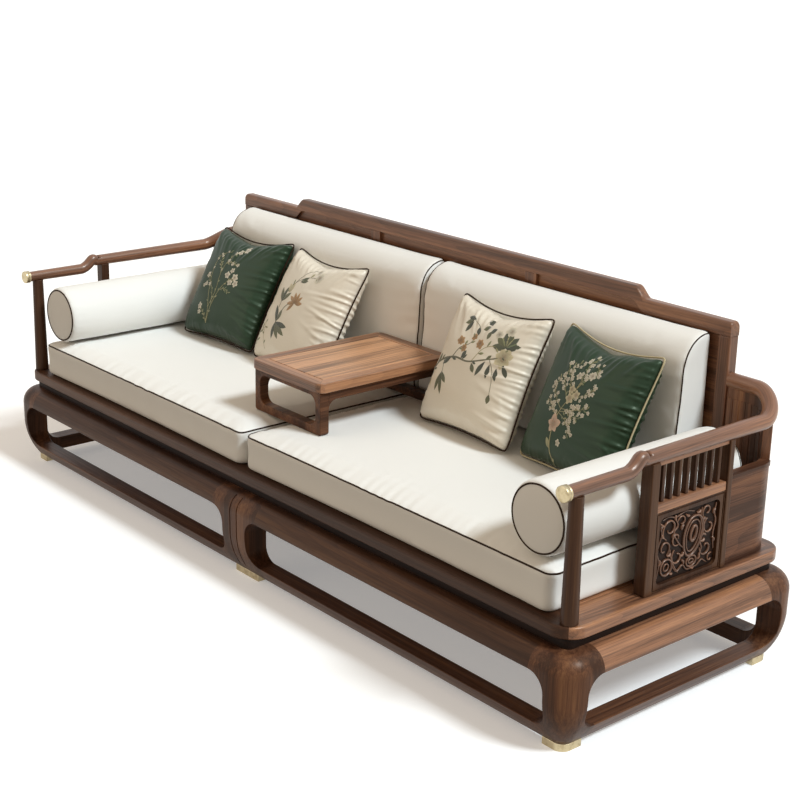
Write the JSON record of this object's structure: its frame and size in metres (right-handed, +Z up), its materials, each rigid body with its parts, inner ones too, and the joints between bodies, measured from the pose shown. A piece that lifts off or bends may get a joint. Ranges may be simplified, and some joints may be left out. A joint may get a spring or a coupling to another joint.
{
  "type": "chinese wooden sofa",
  "caption": "East asian wooden platform sofa with curved arms, carved side panels, brass feet, cream cushions, bolsters, throw pillows and a low tea table on the seat.",
  "frame": {"origin": "on the floor, under the middle of the sofa's base", "axes": "+X along the sofa, towards the arm with the spindles; +Y from the front to the back; +Z up"},
  "size_m": [2.548, 0.848, 0.881],
  "materials": {
    "walnut": "satin",
    "dark_wood": "satin",
    "brass": "satin",
    "cream_upholstery": "smooth",
    "cream_satin": "satin",
    "green_satin": "satin"
  },
  "bodies": {
    "sofa": {"brass_feet": "brass", "leg_front_left": "walnut", "leg_front_right": "walnut", "leg_rear_left": "walnut", "leg_rear_right": "walnut", "leg_front_middle": "walnut", "leg_rear_middle": "walnut", "apron_front_left": "walnut", "apron_front_right": "walnut", "aprons_rear": "walnut", "apron_left": "walnut", "apron_right": "walnut", "stretchers_front": "walnut", "stretchers_rear": "walnut", "stretcher_left": "walnut", "stretcher_right": "walnut", "waist_strips": "dark_wood", "seat_rail_front": "walnut", "seat_rail_rear": "walnut", "seat_rail_left": "walnut", "seat_rail_right": "walnut", "seat_slats": "dark_wood", "seat_supports": "dark_wood", "arm_rail_left": "walnut", "arm_rail_right": "walnut", "brass_caps": "brass", "front_post_left": "walnut", "front_post_right": "walnut", "panel_posts_left": "walnut", "panel_posts_right": "walnut", "mid_rails": "walnut", "carved_frame_left": "walnut", "carved_frame_right": "walnut", "carved_panel_left": "dark_wood", "carved_panel_right": "dark_wood", "spindles_right": "walnut", "rear_boards_left": "walnut", "rear_boards_right": "walnut", "corner_panel_left": "walnut", "corner_panel_right": "walnut", "back_crest": "walnut", "back_posts": "walnut", "back_bottom_rail": "walnut", "back_stiles": "walnut", "back_panels": "dark_wood", "seat_cushion_left": "cream_upholstery", "seat_cushion_right": "cream_upholstery", "back_cushion_left": "cream_upholstery", "back_cushion_right": "cream_upholstery"},
    "bolster_left": {"bolster_left": "cream_upholstery"},
    "bolster_right": {"bolster_right": "cream_upholstery"},
    "pillow_green_left": {"pillow_green_left": "green_satin"},
    "pillow_cream_left": {"pillow_cream_left": "cream_satin"},
    "pillow_cream_right": {"pillow_cream_right": "cream_satin"},
    "pillow_green_right": {"pillow_green_right": "green_satin"},
    "tea_table": {"table_frame": "walnut", "table_panel": "walnut", "table_legs": "walnut", "table_rails": "walnut"}
  },
  "joints": [
    {"name": "tea_table_lift", "type": "slide", "parent": "sofa", "child": "tea_table", "axis": [0, 0, 1], "range_m": [0, 0.45]},
    {"name": "bolster_left_lift", "type": "slide", "parent": "sofa", "child": "bolster_left", "axis": [0, 0, 1], "range_m": [0, 0.45]},
    {"name": "bolster_right_lift", "type": "slide", "parent": "sofa", "child": "bolster_right", "axis": [0, 0, 1], "range_m": [0, 0.45]},
    {"name": "pillow_green_left_lift", "type": "slide", "parent": "sofa", "child": "pillow_green_left", "axis": [0, 0, 1], "range_m": [0, 0.45]},
    {"name": "pillow_cream_left_lift", "type": "slide", "parent": "sofa", "child": "pillow_cream_left", "axis": [0, 0, 1], "range_m": [0, 0.45]},
    {"name": "pillow_cream_right_lift", "type": "slide", "parent": "sofa", "child": "pillow_cream_right", "axis": [0, 0, 1], "range_m": [0, 0.45]},
    {"name": "pillow_green_right_lift", "type": "slide", "parent": "sofa", "child": "pillow_green_right", "axis": [0, 0, 1], "range_m": [0, 0.45]}
  ]
}
